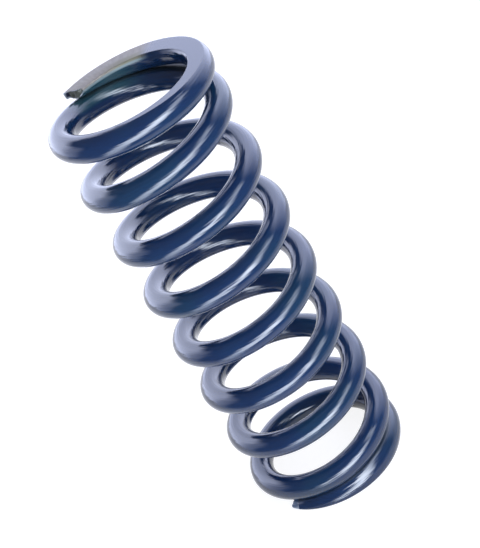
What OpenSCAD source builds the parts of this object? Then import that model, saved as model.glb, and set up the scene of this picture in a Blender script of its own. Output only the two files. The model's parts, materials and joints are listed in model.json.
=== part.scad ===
// Coilover spring: a cylindrical compression spring wound right-handed from round wire,
// with both ends closed against the next turn and ground flat and square to the axis.
// It stands on its lower ground end. The axis is +Z, and the origin lies on the axis
// in the plane of the lower ground face. The front is towards -Y.

/* [Coil] */
// Inside diameter, which locates the spring on its seats
inside_d = 63.5; // [50:0.5:76]
// Diameter of the round wire, coating included
wire_d = 13.7; // [10:0.1:16]
// Height of the free spring between its ground faces
free_length = 254; // [203:1:305]
// Turns of wire from tip to tip
total_turns = 8.74; // [7:0.02:10.5]
// Direction of the lower wire tip, anticlockwise from +X seen from above
tip_angle = 224; // [0:0.5:359.5]

/* [Ends] */
// Turns at each end that are wound closed
closed_turns = 0.64; // [0.56:0.01:0.8]
// Turns over which the pitch then opens out
opening_turns = 0.54; // [0.4:0.01:0.8]
// Turns over which each wire tip leans over to lie along the next turn
leaning_turns = 0.55; // [0.4:0.01:0.56]
// Gap between a wire tip and the turn it lies along
closed_gap = 0.4; // [0.3:0.1:1]
// Thickness of wire that grinding leaves at each tip
tip_thickness = 4.4; // [3:0.1:6]

/* [Surface] */
// Straight steps that make up one turn
steps_per_turn = 36; // [24:4:36]
// Flat sides around the wire
wire_sides = 16; // [12:2:16]

/* [Hidden] */

wire_r = wire_d / 2;
mean_r = inside_d / 2 + wire_r;
outside_r = inside_d / 2 + wire_d;

// Flat sides set a little outside the round wire, so that the section keeps the wire's true area
side_angle = 360 / wire_sides;
section_r = wire_r * sqrt(side_angle * PI / 180 / sin(side_angle));

// Grinding takes the lower half of each tip and more, so the wire starts below the ground face
first_height = tip_thickness - wire_r;
rise = free_length - 2 * first_height;

// The pitches follow from the rise, from the tip's gap to the next turn, and from the tip lying along it.
// A tip is level with a place one turn on, where the pitch has opened by this much
tip_eased = eased(1 - closed_turns, opening_turns);
open_share = leaning_turns / 2 * tip_eased + opened(1 - closed_turns, opening_turns);
open_turns = total_turns - 2 * closed_turns - opening_turns + leaning_turns * tip_eased;
open_pitch = (rise * (1 - open_share) - (total_turns - open_turns) * (wire_d + closed_gap))
    / (open_turns - open_share * total_turns);
closed_pitch = (wire_d + closed_gap - open_share * open_pitch) / (1 - open_share);
tip_pitch = closed_pitch + (open_pitch - closed_pitch) * tip_eased;
leaning_start = total_turns - leaning_turns;
closing_start = total_turns - closed_turns - opening_turns;

steps = ceil(total_turns * steps_per_turn);
slab_side = 2 * outside_r + wire_d;

// A change that eases in and out over a span of turns, from 0 to 1, x turns after it starts
function eased(x, span) = let (s = min(max(x / span, 0), 1)) s * s * (3 - 2 * s);

// The turns gained by that change, which is its integral
function opened(x, span) = let (s = min(max(x / span, 0), 1))
    span * (pow(s, 3) - pow(s, 4) / 2) + max(x - span, 0);

// Height of the wire's centre, t turns from the lower tip
function height(t) = first_height + tip_pitch * t
    - (tip_pitch - closed_pitch) * (opened(t, leaning_turns) - opened(t - leaning_start, leaning_turns))
    + (open_pitch - closed_pitch)
        * (opened(t - closed_turns, opening_turns) - opened(t - closing_start, opening_turns));

// Rise for each turn at that place
function pitch(t) = tip_pitch
    - (tip_pitch - closed_pitch) * (eased(t, leaning_turns) - eased(t - leaning_start, leaning_turns))
    + (open_pitch - closed_pitch)
        * (eased(t - closed_turns, opening_turns) - eased(t - closing_start, opening_turns));

// One point of the wire's section: t turns along, and at an angle round the wire from its outer side
function wire_point(t, angle) = let (
        turn = tip_angle + 360 * t,
        lead = atan(pitch(t) / (2 * PI * mean_r)),
        out = section_r * cos(angle),
        up = section_r * sin(angle)
    ) [
        (mean_r + out) * cos(turn) + up * sin(turn) * sin(lead),
        (mean_r + out) * sin(turn) - up * cos(turn) * sin(lead),
        height(t) + up * cos(lead)
    ];

// The wire as it is wound and cut off, before its ends are ground
module wound_wire() {
    points = [
        for (i = [0 : steps], j = [0 : wire_sides - 1])
            wire_point(total_turns * i / steps, side_angle * (j + 0.5))
    ];
    lower_cut = [for (j = [0 : wire_sides - 1]) j];
    upper_cut = [for (j = [wire_sides - 1 : -1 : 0]) steps * wire_sides + j];
    sides = [
        for (i = [0 : steps - 1], j = [0 : wire_sides - 1])
            let (a = i * wire_sides, b = a + wire_sides, k = (j + 1) % wire_sides)
                [a + j, b + j, b + k, a + k]
    ];
    polyhedron(points = points, faces = concat([lower_cut], sides, [upper_cut]));
}

// What grinding leaves: everything between the planes of the two seats
module ground_slab() {
    translate([-slab_side / 2, -slab_side / 2, 0])
        cube([slab_side, slab_side, free_length]);
}

module coil_spring() {
    color("midnightblue")
        intersection() {
            wound_wire();
            ground_slab();
        }
}

coil_spring();
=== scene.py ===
import json
import math
import bpy
from mathutils import Matrix, Vector, noise


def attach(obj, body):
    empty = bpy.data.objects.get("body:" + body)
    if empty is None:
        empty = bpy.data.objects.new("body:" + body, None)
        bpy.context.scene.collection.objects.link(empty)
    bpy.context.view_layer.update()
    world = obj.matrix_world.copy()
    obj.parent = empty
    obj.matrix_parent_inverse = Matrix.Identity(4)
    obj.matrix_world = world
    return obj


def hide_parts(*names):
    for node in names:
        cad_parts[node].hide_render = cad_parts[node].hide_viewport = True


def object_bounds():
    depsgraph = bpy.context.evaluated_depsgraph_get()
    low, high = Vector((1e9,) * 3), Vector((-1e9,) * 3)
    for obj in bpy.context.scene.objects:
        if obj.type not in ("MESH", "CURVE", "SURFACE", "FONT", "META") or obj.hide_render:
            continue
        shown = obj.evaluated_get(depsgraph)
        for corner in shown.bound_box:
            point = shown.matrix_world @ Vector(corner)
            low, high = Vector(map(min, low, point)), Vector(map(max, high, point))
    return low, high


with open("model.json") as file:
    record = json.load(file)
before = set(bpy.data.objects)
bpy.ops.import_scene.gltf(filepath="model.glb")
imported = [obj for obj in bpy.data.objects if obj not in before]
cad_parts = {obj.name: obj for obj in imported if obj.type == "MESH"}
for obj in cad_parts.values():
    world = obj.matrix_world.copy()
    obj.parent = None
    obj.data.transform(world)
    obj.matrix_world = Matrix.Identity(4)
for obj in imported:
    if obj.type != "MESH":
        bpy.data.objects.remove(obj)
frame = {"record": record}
cadLow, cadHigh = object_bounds()
print("frame loaded, free length", round(cadHigh.z, 4))


# small helpers for objects and node trees

def addObject(name, data):
    made = bpy.data.objects.new(name, data)
    bpy.context.scene.collection.objects.link(made)
    return made


def addNode(tree, kind, **settings):
    made = tree.nodes.new(kind)
    for key, value in settings.items():
        setattr(made, key, value)
    return made


def addSocket(tree, name, direction, kind="Float"):
    return tree.interface.new_socket(name, in_out=direction, socket_type="NodeSocket" + kind)


def feed(tree, socket, source):
    # another node's output is linked, and a plain value is set
    if isinstance(source, bpy.types.NodeSocket):
        tree.links.new(source, socket)
    else:
        socket.default_value = source


def calc(tree, operation, *values, clamp=False):
    made = addNode(tree, "ShaderNodeMath", operation=operation, use_clamp=clamp)
    for socket, value in zip(made.inputs, values):
        feed(tree, socket, value)
    return made.outputs[0]


def limit(tree, value, low, high):
    return calc(tree, "MINIMUM", calc(tree, "MAXIMUM", value, low), high)


def overlap(tree, *masks):
    total = masks[0]
    for mask in masks[1:]:
        total = calc(tree, "MULTIPLY", total, mask)
    return total


def smoothStep(tree, value, start, end, low=0.0, high=1.0):
    made = addNode(tree, "ShaderNodeMapRange", interpolation_type="SMOOTHSTEP")
    for socket, source in zip(made.inputs, (value, start, end, low, high)):
        feed(tree, socket, source)
    return made.outputs[0]


def axes(tree, vector):
    made = addNode(tree, "ShaderNodeSeparateXYZ")
    feed(tree, made.inputs[0], vector)
    return made.outputs


def combine(tree, x, y, z):
    made = addNode(tree, "ShaderNodeCombineXYZ")
    for socket, value in zip(made.inputs, (x, y, z)):
        feed(tree, socket, value)
    return made.outputs[0]


# the wound wire: its free length, inside and outside come from the frame, the rest is the winder's setting

guide = next(mount for mount in frame["record"]["mounts"] if mount["name"] == "inside_guide")
insideRadius = guide["dims"]["r_mm"] / 1000
outsideRadius = min(cadHigh.x, cadHigh.y, -cadLow.x, -cadLow.y)
coil = {
    "Turns": 8.74,
    "Coil Radius": (outsideRadius + insideRadius) / 2,      # to the middle of the wire
    "Wire Radius": (outsideRadius - insideRadius) / 2,
    "Free Length": cadHigh.z,
    "Tip Angle": math.radians(224),     # where the lower tip lies, turned from +X
    "Closed Turns": 0.64,        # at each end, before the pitch opens
    "Opening Turns": 0.54,       # over which it opens
    "Leaning Turns": 0.55,       # over which each tip leans onto the next turn
    "Closed Gap": 0.0004,
    "Tip Thickness": 0.0044,
    "Edge Rounding": 0.0007,     # the coat rounds the edges that grinding leaves
    "Weld Distance": 2e-6,       # closes the seam along the wire
    "Rows Per Turn": 120,
    "Half Columns": 26,          # down one side of the wire
    "Flat Columns": 9,           # across a ground face
    "Cap Rows": 10,
}
tiny = 0.01     # an angle or a share below this counts as none


def eased(x, span):
    share = min(max(x / span, 0), 1)
    return share * share * (3 - 2 * share)


def opened(x, span):
    # the turns gained by that easing, which is its integral
    share = min(max(x / span, 0), 1)
    return span * (share ** 3 - share ** 4 / 2) + max(x - span, 0)


def windPitches(sizes):
    # the pitches follow from the free length, and from each tip lying along the next turn
    turns, leaning = sizes["Turns"], sizes["Leaning Turns"]
    beyond, opening = 1 - sizes["Closed Turns"], sizes["Opening Turns"]
    tipEased = eased(beyond, opening)
    openShare = leaning / 2 * tipEased + opened(beyond, opening)
    openTurns = turns - 2 * sizes["Closed Turns"] - opening + leaning * tipEased
    firstHeight = sizes["Tip Thickness"] - sizes["Wire Radius"]
    rise = sizes["Free Length"] - 2 * firstHeight
    tipRise = 2 * sizes["Wire Radius"] + sizes["Closed Gap"]
    openRise = rise * (1 - openShare) - (turns - openTurns) * tipRise
    openPitch = openRise / (openTurns - openShare * turns)
    closedPitch = (tipRise - openShare * openPitch) / (1 - openShare)
    return {
        "First Height": firstHeight,
        "Tip Pitch": closedPitch + (openPitch - closedPitch) * tipEased,
        "Closed Pitch": closedPitch,
        "Open Pitch": openPitch,
    }


def buildEaseTree():
    # the nodes for eased and opened above: a change over a span of turns, and the turns gained by it
    tree = bpy.data.node_groups.new("easeIn", "GeometryNodeTree")
    addSocket(tree, "Turns Past Start", "INPUT")
    addSocket(tree, "Span", "INPUT")
    addSocket(tree, "Eased", "OUTPUT")
    addSocket(tree, "Opened", "OUTPUT")
    given = addNode(tree, "NodeGroupInput").outputs
    end = addNode(tree, "NodeGroupOutput")
    past, span = given["Turns Past Start"], given["Span"]
    share = calc(tree, "DIVIDE", past, span, clamp=True)
    squared = calc(tree, "MULTIPLY", share, share)
    steep = calc(tree, "SUBTRACT", 3.0, calc(tree, "MULTIPLY", share, 2.0))
    feed(tree, end.inputs["Eased"], calc(tree, "MULTIPLY", squared, steep))
    cubed = calc(tree, "MULTIPLY", squared, share)
    fourth = calc(tree, "MULTIPLY", squared, squared)
    gained = calc(tree, "SUBTRACT", cubed, calc(tree, "DIVIDE", fourth, 2.0))
    after = calc(tree, "MAXIMUM", calc(tree, "SUBTRACT", past, span), 0.0)
    feed(tree, end.inputs["Opened"], calc(tree, "MULTIPLY_ADD", gained, span, after))
    return tree


def addCoilSockets(tree):
    for name in ("Turns", "Coil Radius", "Wire Radius", "Free Length", "Tip Angle", "Closed Turns",
                 "Opening Turns", "Leaning Turns", "Edge Rounding", "Weld Distance",
                 "First Height", "Tip Pitch", "Closed Pitch", "Open Pitch"):
        addSocket(tree, name, "INPUT")
    for name in ("Steps", "Half Columns", "Flat Columns", "Cap Rows"):
        addSocket(tree, name, "INPUT", "Int")
    addSocket(tree, "Coat", "INPUT", "Material")
    addSocket(tree, "Sheared Steel", "INPUT", "Material")
    addSocket(tree, "Geometry", "OUTPUT", "Geometry")


def layGrid(tree, given):
    # a grid of size 1 round its middle, and what each of its points becomes on the wire
    half = given["Half Columns"]
    toFlat = calc(tree, "ADD", given["Flat Columns"], 1.0)
    halfRound = calc(tree, "ADD", half, toFlat)
    columns = calc(tree, "MULTIPLY", halfRound, 2.0)
    rows = calc(tree, "MULTIPLY_ADD", given["Cap Rows"], 2.0, given["Steps"])
    grid = addNode(tree, "GeometryNodeMeshGrid")
    feed(tree, grid.inputs["Size X"], 1.0)
    feed(tree, grid.inputs["Size Y"], 1.0)
    feed(tree, grid.inputs["Vertices X"], calc(tree, "ADD", rows, 1.0))
    feed(tree, grid.inputs["Vertices Y"], calc(tree, "ADD", columns, 1.0))
    place = axes(tree, addNode(tree, "GeometryNodeInputPosition").outputs[0])
    row = calc(tree, "ROUND", calc(tree, "MULTIPLY", calc(tree, "ADD", place["X"], 0.5), rows))
    column = calc(tree, "ROUND", calc(tree, "MULTIPLY", calc(tree, "ADD", place["Y"], 0.5), columns))

    # columns run down the outer side, across the bottom, up the inner side and back across the top
    column = calc(tree, "MODULO", column, columns)
    pastHalf = calc(tree, "SUBTRACT", column, halfRound)
    down = calc(tree, "DIVIDE", column, half, clamp=True)
    up = calc(tree, "DIVIDE", pastHalf, half, clamp=True)
    inward = calc(tree, "DIVIDE", calc(tree, "SUBTRACT", column, half), toFlat, clamp=True)
    outward = calc(tree, "DIVIDE", calc(tree, "SUBTRACT", pastHalf, half), toFlat, clamp=True)
    facing = calc(tree, "MULTIPLY", calc(tree, "SUBTRACT", down, up), math.pi)      # 0 is upwards
    side = calc(tree, "MULTIPLY_ADD", calc(tree, "SUBTRACT", outward, inward), 2.0, 1.0)
    return grid.outputs["Mesh"], row, facing, side


def alongWire(tree, given, row):
    # the turn that a row lies at, and how far into an end cap it is, from 0 to 1
    steps, capRows = given["Steps"], given["Cap Rows"]
    pastCap = calc(tree, "SUBTRACT", row, capRows)
    along = limit(tree, pastCap, 0.0, steps)
    turn = calc(tree, "MULTIPLY", given["Turns"], calc(tree, "DIVIDE", along, steps))
    beforeStart = calc(tree, "SUBTRACT", capRows, row)
    afterEnd = calc(tree, "SUBTRACT", pastCap, steps)
    intoCap = calc(tree, "MAXIMUM", calc(tree, "MAXIMUM", beforeStart, afterEnd), 0.0)
    return turn, calc(tree, "DIVIDE", intoCap, capRows)


def windAt(tree, given, turn):
    # height and pitch of the wire at a turn: each end opens out from its tip in two eased changes
    easeTree = buildEaseTree()
    turns, closed = given["Turns"], given["Closed Turns"]
    leaning, opening = given["Leaning Turns"], given["Opening Turns"]
    leaningBack = calc(tree, "SUBTRACT", turns, leaning)
    closing = calc(tree, "SUBTRACT", calc(tree, "SUBTRACT", turns, closed), opening)
    tipPitch, closedPitch = given["Tip Pitch"], given["Closed Pitch"]
    drop = calc(tree, "SUBTRACT", closedPitch, tipPitch)
    gain = calc(tree, "SUBTRACT", given["Open Pitch"], closedPitch)
    height = calc(tree, "MULTIPLY_ADD", tipPitch, turn, given["First Height"])
    pitch = tipPitch
    for change, span, starts in ((drop, leaning, (0.0, leaningBack)), (gain, opening, (closed, closing))):
        eases = []
        for start in starts:
            made = addNode(tree, "GeometryNodeGroup", node_tree=easeTree)
            feed(tree, made.inputs["Turns Past Start"], calc(tree, "SUBTRACT", turn, start))
            feed(tree, made.inputs["Span"], span)
            eases.append(made.outputs)
        lower, upper = eases
        risen = calc(tree, "SUBTRACT", lower["Opened"], upper["Opened"])
        steeper = calc(tree, "SUBTRACT", lower["Eased"], upper["Eased"])
        height = calc(tree, "MULTIPLY_ADD", change, risen, height)
        pitch = calc(tree, "MULTIPLY_ADD", change, steeper, pitch)
    return height, pitch


def cutSection(tree, given, facing, side, above, below):
    # a circle cut by the ground planes, its corners rounded, and the points that lie on a ground face
    rounding = given["Edge Rounding"]
    core = calc(tree, "SUBTRACT", given["Wire Radius"], rounding)
    corners = []
    for reach in (above, below):
        level = calc(tree, "DIVIDE", calc(tree, "SUBTRACT", reach, rounding), core)
        corners.append(calc(tree, "ARCCOSINE", limit(tree, level, -1.0, 1.0)))
    topCorner, lowCorner = corners
    held = limit(tree, facing, topCorner, calc(tree, "SUBTRACT", math.pi, lowCorner))
    across = calc(tree, "MULTIPLY", core, calc(tree, "SINE", held))
    across = calc(tree, "MULTIPLY_ADD", rounding, calc(tree, "SINE", facing), across)
    across = calc(tree, "MULTIPLY", across, side)
    upward = calc(tree, "MULTIPLY", core, calc(tree, "COSINE", held))
    upward = calc(tree, "MULTIPLY_ADD", rounding, calc(tree, "COSINE", facing), upward)
    facesUp = calc(tree, "LESS_THAN", facing, tiny)
    facesDown = calc(tree, "GREATER_THAN", facing, math.pi - tiny)
    onTop = overlap(tree, facesUp, calc(tree, "GREATER_THAN", topCorner, tiny))
    onBottom = overlap(tree, facesDown, calc(tree, "GREATER_THAN", lowCorner, tiny))
    return across, upward, calc(tree, "MAXIMUM", onTop, onBottom)


def closeCap(tree, wireRadius, across, upward, above, below, capShare):
    # an end cap closes in on the middle of the cut section
    top = calc(tree, "MINIMUM", above, wireRadius)
    bottom = calc(tree, "MINIMUM", below, wireRadius)
    middle = calc(tree, "DIVIDE", calc(tree, "SUBTRACT", top, bottom), 2.0)
    left = calc(tree, "SUBTRACT", 1.0, capShare)
    across = calc(tree, "MULTIPLY", across, left)
    upward = calc(tree, "MULTIPLY_ADD", calc(tree, "SUBTRACT", upward, middle), left, middle)
    return across, upward


def keepMark(tree, mesh, name, value, kind="FLOAT"):
    store = addNode(tree, "GeometryNodeStoreNamedAttribute", data_type=kind, domain="POINT")
    feed(tree, store.inputs["Geometry"], mesh)
    feed(tree, store.inputs["Name"], name)
    feed(tree, store.inputs["Value"], value)
    return store.outputs["Geometry"]


def finishMesh(tree, given, mesh, point):
    # wound into place, welded and smooth, with one finish on the wire and another on its cut ends
    wind = addNode(tree, "GeometryNodeSetPosition")
    feed(tree, wind.inputs["Geometry"], mesh)
    feed(tree, wind.inputs["Position"], point)
    weld = addNode(tree, "GeometryNodeMergeByDistance")
    feed(tree, weld.inputs["Geometry"], wind.outputs[0])
    feed(tree, weld.inputs["Distance"], given["Weld Distance"])
    smooth = addNode(tree, "GeometryNodeSetShadeSmooth")
    feed(tree, smooth.inputs[0], weld.outputs[0])
    real = addNode(tree, "GeometryNodeRealizeInstances")
    feed(tree, real.inputs[0], smooth.outputs[0])
    coated = addNode(tree, "GeometryNodeSetMaterial")
    feed(tree, coated.inputs["Geometry"], real.outputs[0])
    feed(tree, coated.inputs["Material"], given["Coat"])
    cap = addNode(tree, "GeometryNodeInputNamedAttribute", data_type="FLOAT")
    feed(tree, cap.inputs["Name"], "capShare")
    sheared = addNode(tree, "GeometryNodeSetMaterial")
    feed(tree, sheared.inputs["Geometry"], coated.outputs[0])
    feed(tree, sheared.inputs["Selection"], calc(tree, "GREATER_THAN", cap.outputs[0], tiny))
    feed(tree, sheared.inputs["Material"], given["Sheared Steel"])
    return sheared.outputs[0]


def buildCoilTree():
    # a grid is wound into the wire: rows run along it, columns round it, and both ends are ground flat
    tree = bpy.data.node_groups.new("groundCoil", "GeometryNodeTree")
    addCoilSockets(tree)
    given = addNode(tree, "NodeGroupInput").outputs
    mesh, row, facing, side = layGrid(tree, given)
    turn, capShare = alongWire(tree, given, row)
    height, pitch = windAt(tree, given, turn)
    roundCoil = calc(tree, "MULTIPLY", given["Coil Radius"], 2 * math.pi)
    lead = calc(tree, "ARCTANGENT", calc(tree, "DIVIDE", pitch, roundCoil))
    leadSine, leadCosine = calc(tree, "SINE", lead), calc(tree, "COSINE", lead)
    angle = calc(tree, "MULTIPLY_ADD", turn, 2 * math.pi, given["Tip Angle"])
    angleSine, angleCosine = calc(tree, "SINE", angle), calc(tree, "COSINE", angle)

    # the section stands square to the wire, so it leans back by the lead
    above = calc(tree, "DIVIDE", calc(tree, "SUBTRACT", given["Free Length"], height), leadCosine)
    below = calc(tree, "DIVIDE", height, leadCosine)
    across, upward, onFlat = cutSection(tree, given, facing, side, above, below)
    across, upward = closeCap(tree, given["Wire Radius"], across, upward, above, below, capShare)
    radius = calc(tree, "ADD", given["Coil Radius"], across)
    tilt = calc(tree, "MULTIPLY", upward, leadSine)
    tiltX = calc(tree, "MULTIPLY", tilt, angleSine)
    tiltY = calc(tree, "MULTIPLY", tilt, calc(tree, "MULTIPLY", angleCosine, -1.0))
    point = combine(tree, calc(tree, "MULTIPLY_ADD", radius, angleCosine, tiltX),
                    calc(tree, "MULTIPLY_ADD", radius, angleSine, tiltY),
                    calc(tree, "MULTIPLY_ADD", upward, leadCosine, height))

    # the same point on the straight wire, and marks that the finish reads
    straight = combine(tree, calc(tree, "MULTIPLY", turn, roundCoil), across, upward)
    turnsLeft = calc(tree, "SUBTRACT", given["Turns"], turn)
    upperHalf = calc(tree, "GREATER_THAN", turn, turnsLeft)
    endwards = calc(tree, "MULTIPLY_ADD", upperHalf, 2.0, -1.0)
    marks = {
        "fromTip": calc(tree, "MINIMUM", turn, turnsLeft),
        "towardsEnd": calc(tree, "MULTIPLY", upward, endwards),
        "upperHalf": upperHalf,
        "ground": overlap(tree, onFlat, calc(tree, "LESS_THAN", capShare, tiny)),
        "capShare": capShare,
    }
    mesh = keepMark(tree, mesh, "straightWire", straight, "FLOAT_VECTOR")
    for name, value in marks.items():
        mesh = keepMark(tree, mesh, name, value)
    end = addNode(tree, "NodeGroupOutput")
    feed(tree, end.inputs["Geometry"], finishMesh(tree, given, mesh, point))
    return tree


def bakeNodes(name, tree, values):
    # the modifier's inputs are set by identifier, then the result becomes a plain mesh
    piece = addObject(name, bpy.data.meshes.new(name))
    modifier = piece.modifiers.new(tree.name, "NODES")
    modifier.node_group = tree
    for item in tree.interface.items_tree:
        if item.in_out == "INPUT":
            modifier[item.identifier] = values[item.name]
    depsgraph = bpy.context.evaluated_depsgraph_get()
    baked = bpy.data.meshes.new_from_object(piece.evaluated_get(depsgraph), depsgraph=depsgraph)
    piece.modifiers.clear()
    piece.data = baked
    baked.name = name
    return piece


# the ends are sheared off: the cuts lie a little short of the nominal end, and are torn

tips = {
    "reach": 0.009,              # length of wire over which a cut is felt
    "upperCut": -0.0034,
    "upperSlant": 0.10,          # the outer side runs on further
    "notch": 0.0012,
    "notchAt": -0.0044,          # across the wire, from its middle outwards
    "notchWidth": 0.0009,
    "burr": 0.0011,
    "burrAcross": (0.0038, 0.0054),     # where the burr starts and where it is whole
    "burrBulge": 0.0004,
    "bulgeAcross": (0.0034, 0.0054),
    "burrDrop": 0.0016,
    "dropBelow": (0.0027, 0.0034),      # below the middle of the wire
    "lowerCut": -0.0031,
    "tongue": 0.0050,            # the core tore off beyond the outer skin
    "tongueFoot": 1.15,          # its share at the bottom, and how much less it is at the top
    "tongueLoss": 0.3,
    "tongueTop": (0.0025, 0.0065),
    "skin": (0.0005, 0.0012),    # depth of the skin
    "jag": 0.0006,
    "jagScale": 700,
    "jagSeeds": (3.0, 8.0),      # lower tip, upper tip
    "bridge": 0.0014,            # coat that fills the narrow end of the gap to the next turn
    "bridgeStart": (-0.05, 0.16),       # turns from the tip
    "bridgeEnd": (0.34, 0.20),
    "bridgeInward": (0.0040, 0.0066),   # from the middle of the wire towards the next turn
    "sharpAngle": math.radians(38),
}


def ramp(value, start, end):
    return eased(value - start, end - start)


def cutUpper(across, rough):
    notch = tips["notch"] * math.exp(-((across - tips["notchAt"]) / tips["notchWidth"]) ** 2)
    burr = tips["burr"] * ramp(across, *tips["burrAcross"])
    return tips["upperCut"] + tips["upperSlant"] * across - notch + burr + tips["jag"] * rough


def cutLower(across, upward, rough):
    depth = coil["Wire Radius"] - math.hypot(across, upward)
    slope = tips["tongueFoot"] - tips["tongueLoss"] * ramp(upward, *tips["tongueTop"])
    tongue = tips["tongue"] * slope * ramp(depth, *tips["skin"])
    return tips["lowerCut"] + tongue + tips["jag"] * rough


def tearTip(vertex, atTop, across, upward, felt):
    scale = tips["jagScale"]
    rough = noise.noise(Vector((across * scale, upward * scale, tips["jagSeeds"][atTop])))
    cut = cutUpper(across, rough) if atTop else cutLower(across, upward, rough)
    out = Vector((vertex.co.x, vertex.co.y, 0)).normalized()
    onward = Vector((-out.y, out.x, 0)) if atTop else Vector((out.y, -out.x, 0))
    vertex.co += onward * (cut * felt)
    if atTop:
        burr = felt ** 3 * ramp(across, *tips["bulgeAcross"])
        vertex.co += out * tips["burrBulge"] * burr
        vertex.co.z -= tips["burrDrop"] * burr * ramp(-upward, *tips["dropBelow"])


def shearTips(mesh):
    count = len(mesh.vertices)
    straight, upper, fromTip = [0.0] * (3 * count), [0.0] * count, [0.0] * count
    mesh.attributes["straightWire"].data.foreach_get("vector", straight)
    mesh.attributes["upperHalf"].data.foreach_get("value", upper)
    mesh.attributes["fromTip"].data.foreach_get("value", fromTip)
    wireLength = max(straight[0::3])
    for i, vertex in enumerate(mesh.vertices):
        length, across, upward = straight[3 * i:3 * i + 3]
        atTop = upper[i] > 0.5
        nearGap = ramp(fromTip[i], *tips["bridgeStart"]) * ramp(fromTip[i], *tips["bridgeEnd"])
        inward = -upward if atTop else upward
        fill = tips["bridge"] * nearGap * ramp(inward, *tips["bridgeInward"])
        vertex.co.z += -fill if atTop else fill
        fromEnd = wireLength - length if atTop else length
        if fromEnd <= tips["reach"]:
            tearTip(vertex, atTop, across, upward, (1 - fromEnd / tips["reach"]) ** 2)
    mesh.set_sharp_from_angle(angle=tips["sharpAngle"])


# finishes

bareTurns = 0.195       # length of each end, in turns, where grinding left bare metal
creviceTurns = 0.33     # and where a tip lies close to the next turn, with painted shade between them
coat = {
    "deepBlue": (0.0058, 0.0180, 0.0640, 1),
    "liftedBlue": (0.0088, 0.0345, 0.1010, 1),
    "greenBlue": (0.0077, 0.0330, 0.0800, 1),
    # painted shade: a darker blue on the inside of the coil
    "shadedInsideBlue": (0.0022, 0.0090, 0.0400, 1),
    "teal": (0.0185, 0.0650, 0.0910, 1),        # near the tips, where the coat is thin
    "creviceShade": (0.0079, 0.0126, 0.0158, 1),     # painted shade between the closed turns
    "groundGrey": (0.0111, 0.0332, 0.1011, 1),
    "bareLight": (0.42, 0.37, 0.325, 1),
    "bareDark": (0.215, 0.19, 0.17, 1),
    "olive": (0.235, 0.222, 0.155, 1),          # inner edge of the bare metal
    "paleTealHighlight": (0.25, 0.32, 0.335, 1),         # painted highlight along the rounded edge, below that edge
    "insideShadeShare": 0.35,         # how far painted shade covers the blue
    "underShare": 0.7,
    "overShare": 0.9,
    "roughness": 0.08,
    "thinDulls": 0.10,           # added to the roughness
    "creviceDulls": 0.5,
    "groundDulls": 0.14,
    "bareDulls": 0.30,
    "ior": 1.6,
    # drawing marks along the wire, under the coat: scales along and across it, and the share of each
    "grain": (((24, 520, 520), 0.30), ((36, 1200, 1200), 0.36), ((120, 2000, 2000), 0.20)),
    "grainHeight": 0.000320,
    "peelScale": 520.0,          # orange peel of the coat itself
    "peelHeight": 0.000006,
    "cloudScale": 60.0,
    "patchScale": 22.0,
    "patchEdge": (0.46, 0.66),
    "bareMarks": (600, 160, 160),
    # where a finish or painted shade starts and where it is whole: across the wire, from its middle outwards
    "insideShadeAcross": (0.0, -0.005),
    "thinTipAcross": (0.002, -0.003),
    "thinNextAcross": (0.004, 0.0),
    "oliveAcross": (0.0, -0.004),
    "bareAcross": (-0.002, -0.004),
    # from the middle of the wire towards the end of the coil
    "thinNextEndwards": (0.0, 0.004),
    "underEndwards": (-0.0052, -0.0066),
    "overEndwards": (0.0050, 0.0066),
    # below a ground face
    "highlightDepth": (0.0008, 0.0016),
    "bareDepth": (0.0031, 0.0018),
    # along the wire, in turns from its tip
    "bareEnd": (bareTurns + 0.02, bareTurns - 0.02),
    "oliveStart": (0.06, 0.15),
    "thinTipEnd": (bareTurns, bareTurns - 0.08),
    "thinNextStart": (0.95, 1.0),
    "thinNextEnd": (bareTurns + 0.99, bareTurns + 0.90),
    "underEnd": (creviceTurns + 0.06, creviceTurns - 0.06),
    "overStart": (0.99, 1.04),
    "overEnd": (creviceTurns + 1.06, creviceTurns + 0.94),
}
shear = {
    "torn": (0.095, 0.101, 0.082, 1),
    "burr": (0.011, 0.0142, 0.0348, 1),
    "skin": (0.0316, 0.0711, 0.150, 1),
    # pale bare steel at the broken edges, lightened into a painted highlight
    "edge": (0.474, 0.521, 0.60, 1),
    "roughness": 0.35,
    "tearHeight": 0.00012,
    "tornAcross": (0.0040, 0.0028),     # the burr is on the outer side
    "breakScale": 500.0,
    "breakEdge": (0.36, 0.48),
    "paleRimAndHighlight": (0.22, 0.06),                # share of the way in from the edge of the cut
}


def newMaterial(name):
    material = bpy.data.materials.new(name)
    material.use_nodes = True
    tree = material.node_tree
    return material, tree, tree.nodes["Principled BSDF"]


def straightWire(tree):
    return addNode(tree, "ShaderNodeAttribute", attribute_name="straightWire").outputs["Vector"]


def mark(tree, name):
    return addNode(tree, "ShaderNodeAttribute", attribute_name=name).outputs["Fac"]


def edge(tree, value, name, whole=1.0):
    return smoothStep(tree, value, *coat[name], 0.0, whole)


def scaled(tree, vector, scale):
    made = addNode(tree, "ShaderNodeMapping", vector_type="POINT")
    feed(tree, made.inputs["Vector"], vector)
    feed(tree, made.inputs["Scale"], scale)
    return made.outputs[0]


def noiseAt(tree, vector, scale=1.0, detail=2.0):
    made = addNode(tree, "ShaderNodeTexNoise")
    feed(tree, made.inputs["Vector"], vector)
    feed(tree, made.inputs["Scale"], scale)
    feed(tree, made.inputs["Detail"], detail)
    return made.outputs[0]


def mixColour(tree, factor, first, second):
    # the node's colour sockets come after those for numbers and vectors
    made = addNode(tree, "ShaderNodeMix", data_type="RGBA")
    feed(tree, made.inputs[0], factor)
    feed(tree, made.inputs[6], first)
    feed(tree, made.inputs[7], second)
    return made.outputs[2]


def bump(tree, height, distance, normal=None):
    made = addNode(tree, "ShaderNodeBump")
    feed(tree, made.inputs["Height"], height)
    feed(tree, made.inputs["Distance"], distance)
    if normal is not None:
        feed(tree, made.inputs["Normal"], normal)
    return made.outputs[0]


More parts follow.
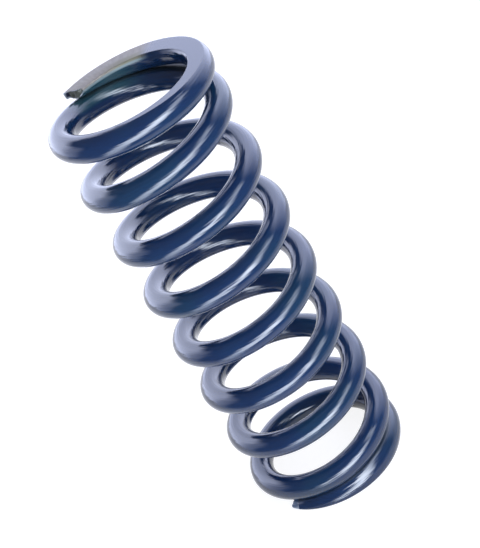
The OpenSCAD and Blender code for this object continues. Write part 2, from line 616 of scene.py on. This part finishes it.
def newHeightGroup(name):
    # a group that turns places on the straight wire into heights
    tree = bpy.data.node_groups.new(name, "ShaderNodeTree")
    addSocket(tree, "Straight Wire", "INPUT", "Vector")
    addSocket(tree, "Height", "OUTPUT")
    wire = addNode(tree, "NodeGroupInput").outputs["Straight Wire"]
    return tree, wire, addNode(tree, "NodeGroupOutput").inputs["Height"]


def buildGrainGroup():
    # long shallow marks that run along the straight wire
    tree, wire, height = newHeightGroup("drawnGrain")
    total = 0.0
    for scale, share in coat["grain"]:
        marks = noiseAt(tree, scaled(tree, wire, scale), detail=1.0)
        total = calc(tree, "MULTIPLY_ADD", marks, share, total)
    feed(tree, height, total)
    return tree


def buildPeelGroup():
    # the fine dimples of a sprayed coat
    tree, wire, height = newHeightGroup("orangePeel")
    feed(tree, height, noiseAt(tree, wire, coat["peelScale"], detail=1.5))
    return tree


grainGroup = buildGrainGroup()
peelGroup = buildPeelGroup()


def useGroup(tree, group, wire):
    made = addNode(tree, "ShaderNodeGroup", node_tree=group)
    feed(tree, made.inputs["Straight Wire"], wire)
    return made.outputs["Height"]


def bodyColour(tree, wire, across):
    # a cloudy blue with greener patches, and painted shade that darkens it on the inside of the coil
    colour = mixColour(tree, noiseAt(tree, wire, coat["cloudScale"]), coat["deepBlue"], coat["liftedBlue"])
    patches = edge(tree, noiseAt(tree, wire, coat["patchScale"]), "patchEdge")
    colour = mixColour(tree, patches, colour, coat["greenBlue"])
    inside = edge(tree, across, "insideShadeAcross", coat["insideShadeShare"])
    return mixColour(tree, inside, colour, coat["shadedInsideBlue"])


def thinMask(tree, fromTip, across, towardsEnd):
    # a thin, greener coat on the inner side of each tip and on the turn next to it
    onTip = overlap(tree, edge(tree, fromTip, "thinTipEnd"), edge(tree, across, "thinTipAcross"))
    onNext = overlap(tree, edge(tree, fromTip, "thinNextStart"), edge(tree, fromTip, "thinNextEnd"),
                     edge(tree, across, "thinNextAcross"), edge(tree, towardsEnd, "thinNextEndwards"))
    return calc(tree, "MAXIMUM", onTip, onNext)


def creviceShadeMask(tree, fromTip, towardsEnd):
    # painted shade: dark, and dull, between the closed turns, where the tip's turn and the next one face each
    # other
    under = overlap(tree, edge(tree, fromTip, "underEnd"),
                    edge(tree, towardsEnd, "underEndwards", coat["underShare"]))
    over = overlap(tree, edge(tree, fromTip, "overStart"), edge(tree, fromTip, "overEnd"),
                   edge(tree, towardsEnd, "overEndwards", coat["overShare"]))
    return calc(tree, "MAXIMUM", under, over)


def bareMetal(tree, wire, fromTip, across, ground):
    # bare metal on the ground faces near each tip and over their inner edge, olive there, then a painted
    # highlight in pale teal below that edge
    marks = noiseAt(tree, scaled(tree, wire, coat["bareMarks"]), detail=3.0)
    colour = mixColour(tree, marks, coat["bareDark"], coat["bareLight"])
    innerEdge = overlap(tree, edge(tree, across, "oliveAcross"), edge(tree, fromTip, "oliveStart"))
    colour = mixColour(tree, innerEdge, colour, coat["olive"])
    height = axes(tree, addNode(tree, "ShaderNodeTexCoord").outputs["Object"])["Z"]
    depth = calc(tree, "MINIMUM", height, calc(tree, "SUBTRACT", coil["Free Length"], height))
    # a painted highlight in pale teal a little below the ground face
    colour = mixColour(tree, edge(tree, depth, "highlightDepth"), colour, coat["paleTealHighlight"])
    overEdge = overlap(tree, edge(tree, depth, "bareDepth"), edge(tree, across, "bareAcross"))
    bare = overlap(tree, edge(tree, fromTip, "bareEnd"), calc(tree, "MAXIMUM", ground, overEdge))
    return colour, bare


def coatMaterial():
    material, tree, shader = newMaterial("blueCoat")
    wire = straightWire(tree)
    across = axes(tree, wire)["Y"]
    fromTip, towardsEnd, ground = mark(tree, "fromTip"), mark(tree, "towardsEnd"), mark(tree, "ground")
    bareColour, bare = bareMetal(tree, wire, fromTip, across, ground)
    # the crevice layer is painted shade, and the bare layer holds a painted highlight in pale teal
    layers = (
        (thinMask(tree, fromTip, across, towardsEnd), coat["teal"], coat["thinDulls"]),
        (creviceShadeMask(tree, fromTip, towardsEnd), coat["creviceShade"], coat["creviceDulls"]),
        (ground, coat["groundGrey"], coat["groundDulls"]),
        (bare, bareColour, coat["bareDulls"]),
    )
    colour, rough = bodyColour(tree, wire, across), coat["roughness"]
    for mask, finish, dulls in layers:
        colour = mixColour(tree, mask, colour, finish)
        rough = calc(tree, "MULTIPLY_ADD", mask, dulls, rough)
    feed(tree, shader.inputs["Base Color"], colour)
    feed(tree, shader.inputs["Roughness"], rough)
    feed(tree, shader.inputs["IOR"], coat["ior"])
    unground = calc(tree, "SUBTRACT", 1.0, ground)      # grinding takes the drawing marks off
    grain = calc(tree, "MULTIPLY", useGroup(tree, grainGroup, wire), unground)
    normal = bump(tree, grain, coat["grainHeight"])
    normal = bump(tree, useGroup(tree, peelGroup, wire), coat["peelHeight"], normal)
    feed(tree, shader.inputs["Normal"], normal)
    return material


def shearMaterial():
    # the upper cut is torn steel with a dark burr, the lower one has a coated skin
    # both have pale broken edges: bare steel, lightened further as a painted highlight
    material, tree, shader = newMaterial("shearedSteel")
    wire = straightWire(tree)
    torn = smoothStep(tree, axes(tree, wire)["Y"], *shear["tornAcross"])
    upper = mixColour(tree, torn, shear["burr"], shear["torn"])
    colour = mixColour(tree, mark(tree, "upperHalf"), shear["skin"], upper)
    broken = smoothStep(tree, noiseAt(tree, wire, shear["breakScale"]), *shear["breakEdge"])
    paleRimAndHighlight = overlap(tree, smoothStep(tree, mark(tree, "capShare"), *shear["paleRimAndHighlight"]), broken)
    feed(tree, shader.inputs["Base Color"], mixColour(tree, paleRimAndHighlight, colour, shear["edge"]))
    feed(tree, shader.inputs["Roughness"], shear["roughness"])
    feed(tree, shader.inputs["Normal"], bump(tree, useGroup(tree, peelGroup, wire), shear["tearHeight"]))
    return material


def makeCoil():
    values = {**coil, **windPitches(coil)}
    values["Steps"] = round(coil["Turns"] * coil["Rows Per Turn"])
    values["Coat"] = coatMaterial()
    values["Sheared Steel"] = shearMaterial()
    print("finishes ready")
    piece = bakeNodes("woundSpring", buildCoilTree(), values)
    shearTips(piece.data)
    print("coil wound,", len(piece.data.polygons), "faces")
    return piece


spring = makeCoil()
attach(spring, "root")
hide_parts("coil_spring")


# studio: a pale floor that fades out towards the front, soft panels, and the camera

studio = {
    "dim": (0.18, 0.185, 0.205, 1),
    "wall": (0.92, 0.92, 0.94, 1),      # a pale wall behind the coil
    "wallSides": (-0.05, 0.50),         # how far round it reaches
    "wallTop": (0.62, 0.30),            # and how high
    "floorColour": (0.30, 0.30, 0.32, 1),
    "floorGlow": 0.88,
    "floorSize": 8.0,
    "floorReach": (1.7, 3.9),    # distances between which the floor blends into the surroundings
    # where the floor fades out, just beyond the lower edges of the picture: direction, start and end
    "fades": (((-0.627, -0.779, 0.0), 0.078, 0.26), ((0.50, -0.87, 0.0), 0.136, 0.32)),
}


def seenDirectly(tree):
    # what the camera sees, also in gloss and through glass, as against the light on the coil
    path = addNode(tree, "ShaderNodeLightPath")
    seen = calc(tree, "MAXIMUM", path.outputs["Is Camera Ray"], path.outputs["Is Glossy Ray"])
    return calc(tree, "MAXIMUM", seen, path.outputs["Is Transmission Ray"])


def makeWorld():
    world = bpy.data.worlds.new("studio")
    bpy.context.scene.world = world
    world.use_nodes = True
    tree = world.node_tree
    towards = axes(tree, addNode(tree, "ShaderNodeTexCoord").outputs["Generated"])
    wall = overlap(tree, smoothStep(tree, towards["Y"], *studio["wallSides"]),
                   smoothStep(tree, towards["Z"], *studio["wallTop"]), seenDirectly(tree))
    feed(tree, tree.nodes["Background"].inputs["Color"], mixColour(tree, wall, studio["dim"], studio["wall"]))


def bareMaterial(name):
    # a material with no shader yet
    material, tree, shader = newMaterial(name)
    tree.nodes.remove(shader)
    return material, tree, tree.nodes["Material Output"].inputs["Surface"]


def floorMaterial():
    material, tree, surface = bareMaterial("paleFloor")
    paper = addNode(tree, "ShaderNodeBsdfDiffuse")
    feed(tree, paper.inputs["Color"], studio["floorColour"])
    glow = addNode(tree, "ShaderNodeEmission")
    feed(tree, glow.inputs["Strength"], calc(tree, "MULTIPLY", seenDirectly(tree), studio["floorGlow"]))
    glowing = addNode(tree, "ShaderNodeAddShader")
    feed(tree, glowing.inputs[0], paper.outputs[0])
    feed(tree, glowing.inputs[1], glow.outputs[0])
    place = addNode(tree, "ShaderNodeTexCoord").outputs["Object"]
    away = addNode(tree, "ShaderNodeVectorMath", operation="LENGTH")
    feed(tree, away.inputs[0], place)
    kept = smoothStep(tree, away.outputs["Value"], *studio["floorReach"], 1.0, 0.0)
    for direction, start, end in studio["fades"]:
        reach = addNode(tree, "ShaderNodeVectorMath", operation="DOT_PRODUCT")
        feed(tree, reach.inputs[0], place)
        feed(tree, reach.inputs[1], direction)
        kept = overlap(tree, smoothStep(tree, reach.outputs["Value"], end, start), kept)
    clear = addNode(tree, "ShaderNodeBsdfTransparent")
    mix = addNode(tree, "ShaderNodeMixShader")
    feed(tree, mix.inputs[0], kept)
    feed(tree, mix.inputs[1], clear.outputs[0])
    feed(tree, mix.inputs[2], glowing.outputs[0])
    feed(tree, surface, mix.outputs[0])
    return material


def makeFloor():
    half = studio["floorSize"] / 2
    mesh = bpy.data.meshes.new("floor")
    corners = [(-half, -half, 0), (half, -half, 0), (half, half, 0), (-half, half, 0)]
    mesh.from_pydata(corners, [], [(0, 1, 2, 3)])
    mesh.materials.append(floorMaterial())
    plane = addObject("floor", mesh)


# soft panels round the coil, each a list of rows: azimuth, elevation, half width in degrees, and brightness

lighting = {
    "away": 1.4,                        # from the middle of the coil
    "matt": 0.6,                        # share that falls on matt colour, which then renders about as written
    "points": (-1, -0.5, 0, 0.5, 1),    # across a row
}
panels = {
    "stripPanel": {"tint": (0.80, 0.88, 1.0), "edge": 0.35, "rows": (
        (-88, -55, 12, 0.0), (-74, -53, 13, 3.6), (-58, -45, 15, 4.9), (-45, -33, 17, 5.7),
        (-30, -19, 18, 9.0), (-15, -9, 19, 12.0), (0, 1, 19, 13.5), (12, 10, 18, 16.0),
        (22, 18, 17, 17.0), (35, 27, 15, 7.2), (52, 40, 15, 5.2), (67, 46, 14, 4.8), (84, 51, 13, 0.5))},
    "backPanel": {"tint": (0.80, 0.86, 1.12), "edge": 0.2, "rows": (
        (-88, 8, 26, 0.2), (-98, 10, 28, 1.2), (-113, 11, 29, 2.0), (-128, 11, 30, 4.0),
        (-143, 12, 31, 3.8), (-158, 13, 32, 3.1), (-173, 17, 34, 2.4), (-188, 22, 39, 2.55),
        (-203, 26, 42, 3.2), (-218, 26, 42, 3.5), (-233, 25, 42, 3.6), (-248, 24, 40, 2.6),
        (-263, 22, 38, 1.4), (-278, 20, 34, 0.2))},
}


def seenFrom(azimuth, elevation):
    # azimuth 0 is the front, and turns towards +X
    a, e = math.radians(azimuth), math.radians(elevation)
    return Vector((math.sin(a) * math.cos(e), -math.cos(a) * math.cos(e), math.sin(e)))


def panelMaterial(name, panel):
    # bright as its rows say, soft along both edges, and dimmer for matt colour than in gloss
    material, tree, surface = bareMaterial(name)
    across = axes(tree, addNode(tree, "ShaderNodeUVMap", uv_map="across").outputs[0])["Y"]
    near = smoothStep(tree, across, 0.0, panel["edge"])
    far = smoothStep(tree, across, 1.0, 1 - panel["edge"])
    gloss = addNode(tree, "ShaderNodeLightPath").outputs["Is Glossy Ray"]
    level = calc(tree, "MULTIPLY_ADD", gloss, 1 - lighting["matt"], lighting["matt"])
    glow = addNode(tree, "ShaderNodeEmission")
    feed(tree, glow.inputs["Color"], (*panel["tint"], 1))
    feed(tree, glow.inputs["Strength"], overlap(tree, mark(tree, "bright"), near, far, level))
    feed(tree, surface, glow.outputs[0])
    return material


def makePanel(name, panel):
    rows, width = panel["rows"], len(lighting["points"])
    middle = Vector((0, 0, cadHigh.z / 2))
    towards = [seenFrom(*row[:2]) for row in rows]
    points, bright, across, faces = [], [], [], []
    for i, row in enumerate(rows):
        halfWidth, brightness = row[2:]
        ahead = towards[min(i + 1, len(rows) - 1)] - towards[max(i - 1, 0)]
        side = towards[i].cross(ahead).normalized()
        for share in lighting["points"]:
            turned = math.radians(halfWidth * share)
            direction = towards[i] * math.cos(turned) + side * math.sin(turned)
            points.append(middle + lighting["away"] * direction)
            bright.append(brightness)
            across.append((share + 1) / 2)
    for i in range(len(rows) - 1):
        for j in range(width - 1):
            first = i * width + j
            faces.append((first, first + 1, first + width + 1, first + width))
    mesh = bpy.data.meshes.new(name)
    mesh.from_pydata(points, [], faces)
    mesh.attributes.new("bright", "FLOAT", "POINT").data.foreach_set("value", bright)
    layer = mesh.uv_layers.new(name="across")
    for loop in mesh.loops:
        layer.data[loop.index].uv = (0, across[loop.vertex_index])
    mesh.materials.append(panelMaterial(name, panel))
    piece = addObject(name, mesh)
    piece.visible_camera = False
    piece.visible_shadow = False


# camera: fitted to the outline in the photograph, whose frame is 480 by 548 pixels

view = {
    "frameWidth": 480,
    "frameHeight": 548,
    "elevation": 0.5365,      # radians above the horizon
    "roll": 0.5145,           # radians that the picture leans to the left
    "away": 0.7150,
    "aimHeight": 0.1264,
    "focalPixels": 1350.9,
    "axisX": 235.43,          # pixel where the optical axis meets the picture
    "axisY": 286.28,
    "sensor": 36.0,
    "nearest": 0.01,
}


def makeCamera():
    data = bpy.data.cameras.new("camera")
    data.sensor_width = view["sensor"]
    data.lens = view["focalPixels"] * view["sensor"] / view["frameHeight"]
    data.shift_x = ((view["frameWidth"] - 1) / 2 - view["axisX"]) / view["frameHeight"]
    data.shift_y = (view["axisY"] - (view["frameHeight"] - 1) / 2) / view["frameHeight"]
    data.clip_start = view["nearest"]
    camera = addObject("camera", data)
    e, r = view["elevation"], view["roll"]
    forward = Vector((0, math.cos(e), -math.sin(e)))
    right = Vector((1, 0, 0))
    up = right.cross(forward)
    acrossPicture = right * math.cos(r) - up * math.sin(r)
    upPicture = right * math.sin(r) + up * math.cos(r)
    turned = Matrix((acrossPicture, upPicture, -forward)).transposed().to_4x4()
    spot = Vector((0, 0, view["aimHeight"])) - forward * view["away"]
    camera.matrix_world = Matrix.Translation(spot) @ turned
    bpy.context.scene.camera = camera


makeWorld()
makeFloor()
for name, panel in panels.items():
    makePanel(name, panel)
makeCamera()
bpy.context.scene.view_settings.view_transform = "Standard"
print("studio ready,", len(panels), "soft panels")
